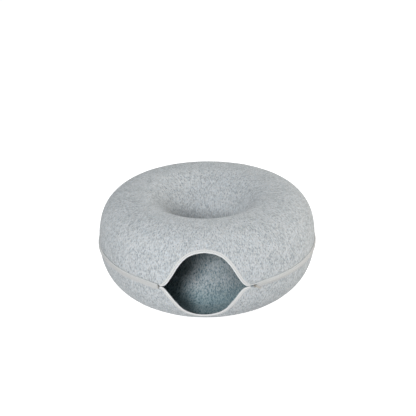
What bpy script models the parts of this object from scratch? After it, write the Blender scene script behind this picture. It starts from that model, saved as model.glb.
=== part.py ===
"""A felt cat cave: a hollow ring of two moulded felt shells, zipped together round the outside.

A cat enters by the eye-shaped mouth at the front (-Y), whose felt edges are bound with folded
tape, and walks round the tunnel inside. The well in the middle runs right through. Metres, +Z up,
with the origin on the floor, under the middle of the whole.
"""

import math
from bisect import bisect_right

import bmesh
import bpy
from mathutils import Matrix, Vector

MM = 0.001

# Driving sizes.
OUTER_RADIUS = 250 * MM  # over the zip tape, the widest part
HALF_HEIGHT = 110 * MM  # each shell, from the zip's plane to its crest or its sole
FELT = 3 * MM  # thickness of the moulded felt
CLEARANCE = 0.35 * MM  # left between pieces that touch

# The section of the shells: a quarter superellipse on each side of the crest, and of the sole.
WALL_RADIUS = 247 * MM  # outer wall, at the zip's plane
THROAT_RADIUS = 71 * MM  # wall of the well, at the zip's plane
THROAT_SEAM = 3 * MM  # upright stretch of each shell at the throat, where the two are sewn
CREST_RADIUS = 146 * MM
SOLE_RADIUS = 145 * MM
CREST_POWER = 2.7
SOLE_POWER = 2.15
WELL_POWER = 2.0
SOLE_PRESS = 2 * MM  # the rounded sole is pressed this much flat by its own weight
SECTION_SAMPLES = 400  # for each quarter

# The felt isn't quite even: the well sits off the middle, and the crown undulates.
WELL_DRIFT = -3 * MM
CROWN_TILT = -0.8 * MM
CROWN_WAVE = 0.7 * MM
CROWN_WAVES = 3

# The mouth, as the felt is cut: distance round the wall from its middle, and how far the
# cut reaches above and below the zip's plane there.
MOUTH_COLUMNS = ("across", "above", "below")
MOUTH = (
    (0.0, 79.3, 79.6),
    (13.0, 78.0, 78.3),
    (24.5, 75.7, 75.0),
    (36.0, 71.3, 69.9),
    (44.5, 65.4, 63.5),
    (53.0, 56.5, 54.6),
    (61.5, 44.0, 41.0),
    (70.0, 28.6, 28.5),
    (79.0, 14.4, 14.3),
    (86.0, 6.8, 5.1),
    (91.5, 3.4, 2.7),
    (96.0, 2.2, 2.2),
)
MOUTH_HALF_WIDTH = MOUTH[-1][0] * MM
UPPER_CUT_SHIFT = 0.8 * MM  # to the right, as the felt was trimmed
LOWER_CUT_SHIFT = -2.1 * MM
SHUT_EDGE = MOUTH[-1][1] * MM  # felt edge from the zip's plane, where the bound edges meet
ZIPPED_EDGE = 5 * MM  # height of the upper felt edge along the zip tape
LEFT_RISE = (101.5 * MM, 104 * MM)  # from the mouth's middle, where the upper edge rises to it
RIGHT_RISE = (104 * MM, 108 * MM)
LEAN = (90 * MM, 100 * MM)  # where columns let go of being square to the edge

# The mouth's corners hang a little below the zip's plane, and pull the felt down beside them.
CORNER_SAG = 3.0 * MM
SAG_PLACES = (70 * MM, 86 * MM, 98 * MM, 145 * MM)  # starts, is whole, begins to fade, ends
SAG_HEIGHT = 60 * MM

# The folded tape that binds the felt round the mouth.
BINDING = 0.8 * MM
BINDING_WIDTH = 6.2 * MM
BINDING_END = 100 * MM  # distance from the mouth's middle
INNER_LEG_GAP = 0.5 * MM
FOLD_BULGE = 0.25  # of the fold's half thickness
FOLD_STEPS = 4

# The zip tape: its section, as distance out from the wall's radius and height over the zip's plane.
ZIP_TAPE = 1.2 * MM
ZIP_SECTION = ((0.6, 4.6), (2.2, 3.0), (3.0, 0.5), (3.0, -3.5), (2.4, -6.5), (1.5, -8.6))
ZIP_STOP_END = 102.5 * MM  # left of the mouth, where the tape is turned in
ZIP_SLIDER_END = 113.5 * MM  # right of the mouth, past the parked slider

# The slider's body, along the zip, through the wall and up, and the bridge on its face.
SLIDER_SIZE = (6.6 * MM, 3.0 * MM, 5.4 * MM)
SLIDER_ROUNDING = 0.8 * MM
SLIDER_ACROSS = 109.5 * MM
SLIDER_RISE = -0.5 * MM
SLIDER_FACE = WALL_RADIUS + 3.4 * MM
BRIDGE_RADIUS = 1.6 * MM
BRIDGE_WIRE = 0.45 * MM
BRIDGE_RISE = 0.6 * MM

# The puller: a flat tab with an eye round one leg of the bridge.
PULLER_SIZE = (5.0 * MM, 17 * MM, 0.8 * MM)
PULLER_TIP_WIDTH = 3.8 * MM
PULLER_EYE_RADIUS = 1.0 * MM
PULLER_TURN = math.radians(55)  # from hanging straight down, towards the back
PULLER_LEAN = math.radians(3)

# The mouth takes away the front of the zip tape, so the ring's axis is in front of the origin.
FRONT_REACH = 237.85 * MM  # of the bound edges, from the axis
AXIS_Y = (FRONT_REACH - OUTER_RADIUS) / 2
ZIP_PLANE = HALF_HEIGHT

# Facets.
MOUTH_STEPS = 12  # on each side of the mouth's middle
BACK_STEPS = 22  # from the slider to the back, on each side
OUTER_ROWS = 7
INNER_ROWS = 6
SOLE_ROWS = 2
HALF_TURN = math.pi * WALL_RADIUS

FELT_COLOUR = (0.50, 0.545, 0.575, 1.0)
BINDING_COLOUR = (0.66, 0.69, 0.69, 1.0)
ZIP_COLOUR = (0.56, 0.56, 0.54, 1.0)
METAL_COLOUR = (0.30, 0.29, 0.27, 1.0)
PULLER_COLOUR = (0.55, 0.53, 0.49, 1.0)


def clear_scene():
    for obj in list(bpy.data.objects):
        bpy.data.objects.remove(obj)


def use_collection(name):
    """Make a collection, and put every new primitive in it."""
    bpy.context.scene.collection.children.link(bpy.data.collections.new(name))
    layers = bpy.context.view_layer.layer_collection.children
    bpy.context.view_layer.active_layer_collection = layers[name]


def new_material(name, colour, roughness, metallic=0.0):
    material = bpy.data.materials.new(name)
    material.use_nodes = True
    shader = material.node_tree.nodes["Principled BSDF"]
    shader.inputs["Base Color"].default_value = colour
    shader.inputs["Roughness"].default_value = roughness
    shader.inputs["Metallic"].default_value = metallic
    material.diffuse_color = colour
    return material


def smooth_through(rows, at):
    """The height at a distance, on a monotone cubic through rows of (distance, height)."""
    slopes = [(b[1] - a[1]) / (b[0] - a[0]) for a, b in zip(rows, rows[1:])]
    tangents = [0.0]
    for before, after in zip(slopes, slopes[1:]):
        tangents.append(2 * before * after / (before + after) if before * after > 0 else 0.0)
    tangents.append(0.0)
    at = min(max(at, rows[0][0]), rows[-1][0])
    i = min(bisect_right([row[0] for row in rows], at), len(rows) - 1) - 1
    width = rows[i + 1][0] - rows[i][0]
    t = (at - rows[i][0]) / width
    return (
        rows[i][1] * (1 + 2 * t) * (1 - t) ** 2
        + rows[i + 1][1] * t * t * (3 - 2 * t)
        + tangents[i] * width * t * (1 - t) ** 2
        - tangents[i + 1] * width * t * t * (1 - t)
    )


def edge_height(across, upper):
    """How far the felt's edge is from the zip's plane, at a distance round the wall."""
    distance = abs(across - (UPPER_CUT_SHIFT if upper else LOWER_CUT_SHIFT))
    if distance <= MOUTH_HALF_WIDTH:
        column = MOUTH_COLUMNS.index("above" if upper else "below")
        return smooth_through([(row[0] * MM, row[column] * MM) for row in MOUTH], distance)
    if upper:
        begins, ends = RIGHT_RISE if across > 0 else LEFT_RISE
        return smooth_through([(begins, SHUT_EDGE), (ends, ZIPPED_EDGE)], distance)
    return SHUT_EDGE


def smooth_step(share):
    share = min(max(share, 0.0), 1.0)
    return share * share * (3 - 2 * share)


def sag(across, height=0.0):
    """How far the felt hangs down beside the mouth's corners."""
    beside = abs(math.remainder(across, 2 * HALF_TURN))
    begins, whole, fades, ends = SAG_PLACES
    share = smooth_step((beside - begins) / (whole - begins)) * smooth_step((ends - beside) / (ends - fades))
    return CORNER_SAG * share * max(1 - height / SAG_HEIGHT, 0.0) ** 2


def place(angle, radius, height, side):
    """A point of the outer face in the row frame, with the felt's unevenness."""
    inward = (WALL_RADIUS - radius) / (WALL_RADIUS - THROAT_RADIUS)
    drift = WELL_DRIFT * inward * inward * (3 - 2 * inward)
    lift = 0.0
    if side > 0:
        wave = CROWN_TILT * math.sin(angle) + CROWN_WAVE * math.cos(CROWN_WAVES * angle)
        lift = wave * (height / HALF_HEIGHT) ** 2
    lift -= sag(angle * WALL_RADIUS, height)
    x = radius * math.sin(angle) + drift
    y = AXIS_Y - radius * math.cos(angle)
    return Vector((x, y, ZIP_PLANE + side * height + lift))


class Shell:
    """The outer face of one half, by distance round the wall and distance up its section."""

    def __init__(self, upper):
        self.upper = upper
        self.side = 1 if upper else -1
        ridge = CREST_RADIUS if upper else SOLE_RADIUS
        rise = HALF_HEIGHT if upper else HALF_HEIGHT + SOLE_PRESS
        self.points = []
        for i in range(2 * SECTION_SAMPLES + 1):
            turn = math.pi / 2 * i / SECTION_SAMPLES
            outer = i <= SECTION_SAMPLES
            reach = WALL_RADIUS - ridge if outer else THROAT_RADIUS - ridge
            power = WELL_POWER if not outer else CREST_POWER if upper else SOLE_POWER
            radius = ridge + reach * abs(math.cos(turn)) ** (2 / power)
            height = rise * abs(math.sin(turn)) ** (2 / power)
            self.points.append((radius, min(height, HALF_HEIGHT)))
        self.lengths = [0.0]
        for a, b in zip(self.points, self.points[1:]):
            self.lengths.append(self.lengths[-1] + math.dist(a, b))
        level = [s for s, point in zip(self.lengths, self.points) if point[1] == HALF_HEIGHT]
        self.level_start, self.level_end = level[0], level[-1]
        self.seam_start = self.lengths[-1] - THROAT_SEAM

    def section(self, length):
        """(radius, height) at a distance up the section from the zip's plane."""
        i = min(max(bisect_right(self.lengths, length), 1), len(self.points) - 1)
        share = (length - self.lengths[i - 1]) / (self.lengths[i] - self.lengths[i - 1])
        a, b = self.points[i - 1], self.points[i]
        return a[0] + share * (b[0] - a[0]), a[1] + share * (b[1] - a[1])

    def point(self, across, length):
        return place(across / WALL_RADIUS, *self.section(length), self.side)

    def normal(self, across, length, step=0.5 * MM):
        """Unit normal of the outer face, pointing out of the felt."""
        up = self.point(across, length + step) - self.point(across, length - step)
        along = self.point(across + step, length) - self.point(across - step, length)
        return (along.cross(up) * self.side).normalized()

    def edge(self, across):
        """Distance up the section to the felt's cut edge."""
        height = edge_height(across, self.upper)
        i = bisect_right([point[1] for point in self.points[:SECTION_SAMPLES]], height)
        low, high = self.points[i - 1], self.points[i]
        share = (height - low[1]) / (high[1] - low[1])
        return self.lengths[i - 1] + share * (self.lengths[i] - self.lengths[i - 1])

    def from_edge(self, across, into, step=0.5 * MM):
        """(across, length) at a distance into the felt, square to its edge round the mouth."""
        slope = (self.edge(across + step) - self.edge(across - step)) / (2 * step)
        slope *= smooth_step((LEAN[1] - abs(across)) / (LEAN[1] - LEAN[0]))
        square = math.hypot(1, slope)
        return across - slope / square * into, self.edge(across) + into / square


def columns():
    """Distances round the wall of every column of facets, from the back to the back."""
    half = [MOUTH_HALF_WIDTH * i / MOUTH_STEPS for i in range(MOUTH_STEPS + 1)]
    half += [BINDING_END, ZIP_STOP_END, *RIGHT_RISE, ZIP_SLIDER_END]
    back = HALF_TURN - ZIP_SLIDER_END
    half += [ZIP_SLIDER_END + back * i / BACK_STEPS for i in range(1, BACK_STEPS + 1)]
    return [-across for across in reversed(half[1:])] + half


def shaped_grid(name, rows, material, closed=False):
    """A grid primitive with its vertices moved to rows of points, and joined up if closed."""
    count = len(rows[0])
    bpy.ops.mesh.primitive_grid_add(x_subdivisions=count - 1, y_subdivisions=len(rows) - 1, size=1)
    grid = bpy.context.object
    grid.name = grid.data.name = name
    ordered = sorted(grid.data.vertices, key=lambda vertex: (round(vertex.co.y, 6), vertex.co.x))
    for index, vertex in enumerate(ordered):
        vertex.co = rows[index // count][index % count]
    if closed:
        mesh = bmesh.new()
        mesh.from_mesh(grid.data)
        bmesh.ops.remove_doubles(mesh, verts=mesh.verts, dist=0.01 * MM)
        mesh.to_mesh(grid.data)
        mesh.free()
    grid.data.materials.append(material)
    grid.data.shade_smooth()
    return grid


def give_thickness(obj, thickness, outward):
    solid = obj.modifiers.new("Thickness", "SOLIDIFY")
    solid.thickness = thickness
    solid.offset = 1 if outward else -1
    solid.use_even_offset = True
    solid.use_quality_normals = True


def make_shell(name, upper, material):
    """One moulded half: its outer face as a grid round the axis, and the felt's thickness."""
    shell = Shell(upper)
    lines = []
    for across in columns():
        line = [(across, shell.edge(across))]
        start, first = shell.from_edge(across, BINDING_WIDTH)
        for i in range(OUTER_ROWS):
            share = i / OUTER_ROWS
            line.append((start + share * (across - start), first + share * (shell.level_start - first)))
        stretches = [(shell.level_end, shell.seam_start, INNER_ROWS)]
        if not upper:
            stretches.insert(0, (shell.level_start, shell.level_end, SOLE_ROWS))
        for start, end, count in stretches:
            line += [(across, start + (end - start) * i / count) for i in range(count)]
        line.append((across, shell.seam_start))
        points = [shell.point(*at) for at in line]
        points.append(place(across / WALL_RADIUS, THROAT_RADIUS, CLEARANCE / 2, shell.side))
        lines.append(points)
    rows = list(zip(*lines))
    felt_half = shaped_grid(name, rows if upper else rows[::-1], material, closed=True)
    give_thickness(felt_half, FELT, outward=False)


def fold_profile():
    """The inner face of the folded tape: (distance into the felt, height over its outer face)."""
    outer, inner = CLEARANCE, -(FELT + INNER_LEG_GAP)
    middle, half = (outer + inner) / 2, (outer - inner) / 2
    profile = [(BINDING_WIDTH, outer), (BINDING_WIDTH / 2, outer)]
    for i in range(FOLD_STEPS + 1):
        turn = math.pi * i / FOLD_STEPS
        profile.append((-CLEARANCE - FOLD_BULGE * half * math.sin(turn), middle + half * math.cos(turn)))
    return profile + [(BINDING_WIDTH / 2, inner), (BINDING_WIDTH, inner)]


def make_binding(name, upper, material):
    """Folded tape along one edge of the mouth, over both faces of the felt."""
    shell = Shell(upper)
    lines = []
    for across in columns():
        if abs(across) > BINDING_END + CLEARANCE:
            continue
        line = []
        for into, over in fold_profile():
            at = shell.from_edge(across, max(into, 0.0))
            edge = shell.point(*shell.from_edge(across, 0.0))
            inward = (shell.point(*shell.from_edge(across, BINDING_WIDTH / 2)) - edge).normalized()
            line.append(shell.point(*at) + inward * min(into, 0.0) + shell.normal(*at) * over)
        lines.append(line)
    rows = list(zip(*lines))
    give_thickness(shaped_grid(name, rows[::-1] if upper else rows, material), BINDING, outward=True)


def make_zip_tape(name, material):
    """The zip's tape: a band round the back from one side of the mouth to the other."""
    path = [across for across in columns() if across > ZIP_SLIDER_END - CLEARANCE]
    path += [across + 2 * HALF_TURN for across in columns() if across < CLEARANCE - ZIP_STOP_END][1:]
    rows = []
    for out, up in reversed(ZIP_SECTION):
        radius = WALL_RADIUS + out * MM
        row = []
        for across in path:
            angle = across / WALL_RADIUS
            z = ZIP_PLANE + up * MM - sag(across)
            row.append((radius * math.sin(angle), AXIS_Y - radius * math.cos(angle), z))
        rows.append(row)
    give_thickness(shaped_grid(name, rows, material), ZIP_TAPE, outward=False)


def on_wall(across, radius, rise):
    """A frame on the wall: X along the zip, Y up and Z out."""
    angle = across / WALL_RADIUS
    out = Vector((math.sin(angle), -math.cos(angle), 0))
    middle = out * radius + Vector((0, AXIS_Y, ZIP_PLANE + rise - sag(across)))
    return Matrix.Translation(middle) @ Matrix.Rotation(angle, 4, "Z") @ Matrix.Rotation(math.pi / 2, 4, "X")


def make_slider(name, material):
    """The slider's body, parked in the slot between the felt edges, with a bridge on its face."""
    along, through, up = SLIDER_SIZE
    bpy.ops.mesh.primitive_cube_add(size=1)
    slider = bpy.context.object
    slider.name = slider.data.name = name
    slider.data.transform(Matrix.Diagonal((along, up, through, 1)))
    slider.matrix_world = on_wall(SLIDER_ACROSS, SLIDER_FACE - through / 2, SLIDER_RISE)
    slider.data.materials.append(material)
    rounded = slider.modifiers.new("Rounded", "BEVEL")
    rounded.width = SLIDER_ROUNDING
    rounded.segments = 2
    bpy.ops.mesh.primitive_torus_add(
        major_radius=BRIDGE_RADIUS, minor_radius=BRIDGE_WIRE, major_segments=16, minor_segments=6
    )
    bridge = bpy.context.object
    bridge.name = bridge.data.name = "slider_bridge"
    bridge.data.transform(Matrix.Rotation(math.pi / 2, 4, "X"))
    bridge.matrix_world = on_wall(SLIDER_ACROSS - BRIDGE_RADIUS / 2, SLIDER_FACE + BRIDGE_RISE, SLIDER_RISE)
    bridge.hide_render = True
    bridge.display_type = "WIRE"
    joined = slider.modifiers.new("Bridge", "BOOLEAN")
    joined.operation = "UNION"
    joined.object = bridge


def add_loop(outline, points):
    loop = outline.splines.new("POLY")
    loop.points.add(len(points) - 1)
    for spot, (x, y) in zip(loop.points, points):
        spot.co = (x, y, 0, 1)
    loop.use_cyclic_u = True


def make_puller(name, material):
    """A flat tab that hangs by its eye from the slider's bridge, and lies along the wall."""
    width, length, thickness = PULLER_SIZE
    outline = bpy.data.curves.new(name, "CURVE")
    outline.dimensions = "2D"
    outline.fill_mode = "BOTH"
    outline.extrude = thickness / 2
    turns = [math.pi * i / 6 for i in range(7)]
    tab = [(width / 2 * math.cos(turn), width / 2 * math.sin(turn)) for turn in turns]
    tip = width / 2 - length
    tab += [(-PULLER_TIP_WIDTH / 2, tip), (PULLER_TIP_WIDTH / 2, tip)]
    cosine, sine = math.cos(PULLER_TURN), math.sin(PULLER_TURN)
    add_loop(outline, [(x * cosine - y * sine, x * sine + y * cosine) for x, y in tab])
    turns = [math.tau * i / 10 for i in range(10)]
    add_loop(outline, [(PULLER_EYE_RADIUS * math.cos(a), PULLER_EYE_RADIUS * math.sin(a)) for a in turns])
    puller = bpy.data.objects.new(name, outline)
    bpy.context.collection.objects.link(puller)
    outline.materials.append(material)
    radius = SLIDER_FACE + CLEARANCE + thickness / 2
    hung = on_wall(SLIDER_ACROSS + BRIDGE_RADIUS / 2, radius, SLIDER_RISE)
    puller.matrix_world = hung @ Matrix.Rotation(PULLER_LEAN, 4, "X")


clear_scene()
use_collection("felt_cat_cave")
felt = new_material("grey felt", FELT_COLOUR, 0.95)
folded_tape = new_material("binding tape", BINDING_COLOUR, 0.8)
woven_tape = new_material("zip tape", ZIP_COLOUR, 0.8)
metal = new_material("slider metal", METAL_COLOUR, 0.4, 1.0)
enamel = new_material("puller enamel", PULLER_COLOUR, 0.5)
make_shell("upper_shell", True, felt)
make_shell("lower_shell", False, felt)
make_binding("mouth_binding_upper", True, folded_tape)
make_binding("mouth_binding_lower", False, folded_tape)
make_zip_tape("zip_tape", woven_tape)
make_slider("zip_slider", metal)
make_puller("zip_puller", enamel)
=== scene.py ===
"""The looks of the felt cat cave: two moulded felt halves, a bound mouth, and the zip round them.

Metres, +Z up, with the origin on the floor under the middle of the whole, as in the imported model.
A place round the wall is its distance from the mouth's middle (-Y), positive to the right.
"""

import math
from bisect import bisect_right

import bpy
from mathutils import Matrix, Vector, noise


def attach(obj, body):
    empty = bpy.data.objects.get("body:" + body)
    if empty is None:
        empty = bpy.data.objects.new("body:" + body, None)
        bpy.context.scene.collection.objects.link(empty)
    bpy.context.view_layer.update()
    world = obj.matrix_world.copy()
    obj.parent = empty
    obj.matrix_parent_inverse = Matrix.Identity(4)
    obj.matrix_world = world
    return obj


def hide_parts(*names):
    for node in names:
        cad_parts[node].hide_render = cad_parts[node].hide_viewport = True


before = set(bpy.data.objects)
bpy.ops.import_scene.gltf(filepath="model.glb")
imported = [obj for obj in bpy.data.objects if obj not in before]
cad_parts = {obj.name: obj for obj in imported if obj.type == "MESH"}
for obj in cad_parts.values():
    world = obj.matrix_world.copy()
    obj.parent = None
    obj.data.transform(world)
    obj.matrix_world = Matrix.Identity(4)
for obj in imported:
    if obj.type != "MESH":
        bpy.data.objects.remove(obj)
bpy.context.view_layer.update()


# The studio. A lit white table and five soft boxes. The hard one stands left of the lens, and its
# light falls through the mouth. The wide ones stand in front on the right, beside the ring on both
# sides, and behind it. The camera is 2.4 m away and looks down on the ring.

MM = 0.001
AXIS_Y = -6.075 * MM  # of the ring, which lies in front of the whole's middle
ZIP_PLANE = 110 * MM
RING_MIDDLE = Vector((0, AXIS_Y, ZIP_PLANE))


def looking_at_ring(swing, rise, distance, roll=0.0):
    """A place seen from the ring's middle, in degrees to the right and up, and looking back at it."""
    turned = Matrix.Rotation(math.radians(swing), 4, "Z")
    raised = Matrix.Rotation(math.radians(90 - rise), 4, "X")
    rolled = Matrix.Rotation(math.radians(roll), 4, "Z")
    return Matrix.Translation(RING_MIDDLE) @ turned @ raised @ rolled @ Matrix.Translation((0, 0, distance))


bpy.ops.object.select_all(action="DESELECT")
bpy.ops.object.camera_add()
camera = bpy.context.object
camera.name = "camera"
camera.matrix_world = looking_at_ring(1.65, 27.29, 2.404, roll=-0.83)
camera.data.lens = 90
camera.data.sensor_width = 36
camera.data.shift_x = 0.0023
camera.data.shift_y = 0.067
bpy.context.scene.camera = camera
bpy.context.scene.view_settings.view_transform = "Standard"

# Each soft box: its swing to the right and its rise in degrees, distance, width, watts and colour.
SOFT_BOXES = {
    "key_box": (-16, 27, 2.6, 0.6, 55, (0.99, 0.995, 1.0)),
    "front_box": (50, 35, 2.6, 1.2, 10, (1.0, 1.0, 1.0)),
    "back_box": (-150, 50, 2.6, 2.0, 24, (0.94, 0.975, 1.0)),
    "right_box": (104, 18, 2.4, 1.6, 47, (1.0, 0.965, 0.91)),
    "left_box": (-112, 60, 2.4, 1.4, 9, (1.0, 0.98, 0.95)),
}
for name, (swing, rise, distance, width, power, colour) in SOFT_BOXES.items():
    bpy.ops.object.light_add(type="AREA")
    box = bpy.context.object
    box.name = name
    box.matrix_world = looking_at_ring(swing, rise, distance)
    box.data.size = width
    box.data.energy = power
    box.data.color = colour

room = bpy.data.worlds.new("white room")
room.use_nodes = True
room.node_tree.nodes["Background"].inputs["Color"].default_value = (0.97, 0.985, 1.0, 1.0)
room.node_tree.nodes["Background"].inputs["Strength"].default_value = 0.05
bpy.context.scene.world = room

# The table is lit from below, so that it stays white to its edge with only a trace of shadow. It
# looks brighter to the lens than it shines on the felt.
bpy.ops.mesh.primitive_circle_add(vertices=96, radius=14, fill_type="NGON")
table = bpy.context.object
table.name = "table"
table_white = bpy.data.materials.new("lit table")
table_white.use_nodes = True
shader = table_white.node_tree.nodes["Principled BSDF"]
shader.inputs["Base Color"].default_value = (0.3, 0.3, 0.3, 1.0)
shader.inputs["Roughness"].default_value = 0.9
shader.inputs["Emission Color"].default_value = (1.0, 1.0, 1.0, 1.0)
seen = table_white.node_tree.nodes.new("ShaderNodeLightPath")
glow = table_white.node_tree.nodes.new("ShaderNodeMapRange")
glow.inputs["To Min"].default_value = 0.54
glow.inputs["To Max"].default_value = 0.93
table_white.node_tree.links.new(seen.outputs["Is Camera Ray"], glow.inputs["Value"])
table_white.node_tree.links.new(glow.outputs["Result"], shader.inputs["Emission Strength"])
table.data.materials.append(table_white)


# The upper and lower felt halves. Each is one piece of needled grey felt, 3 mm thick, pressed hot
# over a ring mould and cut away round the mouth. The lower one is rounder and stands on a pressed
# sole. The felt is a mix of white and blue-grey fibres, with a dark one here and there.

FELT = 3 * MM
BOUND_FELT = 1.9 * MM  # where the binding presses it
CLEARANCE = 0.35 * MM
WALL_RADIUS = 247 * MM
THROAT_RADIUS = 71 * MM
THROAT_SEAM = 3 * MM
HALF_HEIGHT = 110 * MM
SOLE_PRESS = 2 * MM
CUT_EDGE_ROUND = 0.6 * MM

# Each half's section: the radius of its crest or sole, how far it rises, and the power of the
# superellipse on its outer and its inner side.
SECTIONS = {
    "upper": (146 * MM, HALF_HEIGHT, 2.7, 2.0),
    "lower": (145 * MM, HALF_HEIGHT + SOLE_PRESS, 2.15, 2.0),
}
SECTION_SAMPLES = 400

# The mouth as it is cut: place round the wall, height of the cut above the zip, and depth below.
MOUTH = (
    (0.0, 79.3, 79.6),
    (13.0, 78.0, 78.3),
    (24.5, 75.7, 75.0),
    (36.0, 71.3, 69.9),
    (44.5, 65.4, 63.5),
    (53.0, 56.5, 54.6),
    (61.5, 44.0, 41.0),
    (70.0, 28.6, 28.5),
    (79.0, 14.4, 14.3),
    (86.0, 6.8, 5.1),
    (91.5, 3.4, 2.7),
    (96.0, 2.2, 2.2),
)
MOUTH_END = 96 * MM
CUT_SHIFT = {"upper": 0.8 * MM, "lower": -2.1 * MM}  # to the right, as the felt was trimmed
SHUT_EDGE = 2.2 * MM
ZIPPED_EDGE = 5 * MM
LEFT_RISE = (101.5 * MM, 104 * MM)  # where the upper edge rises to it from the shut bindings
RIGHT_RISE = (104 * MM, 108 * MM)
LEAN_UNTIL = 90 * MM
LEAN_END = 100 * MM

# The mouth's corners hang a little below the zip's plane, and pull the felt down beside them.
CORNER_SAG = 3.0 * MM
SAG_PLACES = (70 * MM, 86 * MM, 98 * MM, 145 * MM)  # starts, is whole, begins to fade, ends
SAG_HEIGHT = 60 * MM

# The well stands a little to the left, and the crown isn't quite level.
WELL_DRIFT = -3 * MM
CROWN_TILT = 0.8 * MM
CROWN_WAVE = 0.7 * MM

# The pressed felt stands proud or shy of its mould by swells of a (depth, width). They fade in over
# a distance that starts a little way from the cut edge, the throat's seam and the sole.
SWELLS = ((0.55 * MM, 75 * MM), (0.3 * MM, 26 * MM))
SWELL_FADE = 30 * MM
FLAT_AT_CUT = 14 * MM
FLAT_AT_SEAM = 10 * MM
FLAT_AT_SOLE = 6 * MM

FELT_COLUMNS = 480
OUTER_ROWS = 34
BOUND_ROWS = 3
SOLE_ROWS = 5
WELL_ROWS = 26
THINNED_ROWS = 3  # over which the felt swells to its full thickness, past the rows that are bound
BINDING_WIDTH = 6.2 * MM
BINDING_LEFT_END = -98 * MM
BINDING_RIGHT_END = 100 * MM
PAST_BINDING = 4 * MM  # the same, beside the bindings' ends
FELT_CREASE = math.radians(50)


def smooth_through(rows, at):
    """The height at a distance, on a monotone cubic through rows of (distance, height)."""
    slopes = [(b[1] - a[1]) / (b[0] - a[0]) for a, b in zip(rows, rows[1:])]
    tangents = [0.0]
    for before, after in zip(slopes, slopes[1:]):
        tangents.append(2 * before * after / (before + after) if before * after > 0 else 0.0)
    tangents.append(0.0)
    at = min(max(at, rows[0][0]), rows[-1][0])
    i = min(bisect_right([row[0] for row in rows], at), len(rows) - 1) - 1
    width = rows[i + 1][0] - rows[i][0]
    t = (at - rows[i][0]) / width
    return (
        rows[i][1] * (1 + 2 * t) * (1 - t) ** 2
        + rows[i + 1][1] * t * t * (3 - 2 * t)
        + tangents[i] * width * t * (1 - t) ** 2
        - tangents[i + 1] * width * t * t * (1 - t)
    )


def smooth_step(share):
    share = min(max(share, 0.0), 1.0)
    return share * share * (3 - 2 * share)


def sag(across, height=0.0):
    """How far the felt hangs down beside the mouth's corners."""
    beside = abs(math.remainder(across, math.tau * WALL_RADIUS))
    begins, whole, fades, ends = SAG_PLACES
    share = smooth_step((beside - begins) / (whole - begins)) * smooth_step((ends - beside) / (ends - fades))
    return CORNER_SAG * share * max(1 - height / SAG_HEIGHT, 0.0) ** 2


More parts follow.
